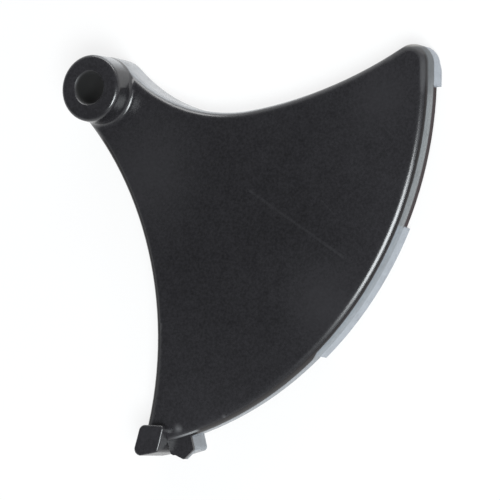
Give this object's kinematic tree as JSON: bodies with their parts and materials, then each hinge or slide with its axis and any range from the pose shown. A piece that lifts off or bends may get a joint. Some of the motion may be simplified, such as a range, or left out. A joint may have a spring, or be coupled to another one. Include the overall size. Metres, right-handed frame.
{
  "type": "throttle lever",
  "caption": "Fan-shaped moulded throttle lever with a pivot boss at one corner, hollow finger edges, a notched curved skirt and a cable post and lug at the heel.",
  "frame": {"origin": "on the pivot axis, in the plane of the skirt's back edge", "axes": "+Z along the pivot axis and out of the front face, +X from the pivot towards the tip, +Y away from the heel"},
  "size_m": [0.0648, 0.0656, 0.0094],
  "materials": {
    "black_plastic": "black injection-moulded nylon, satin, with fine rubbing marks"
  },
  "bodies": {
    "root": {"throttle_lever": "black_plastic"}
  },
  "joints": []
}
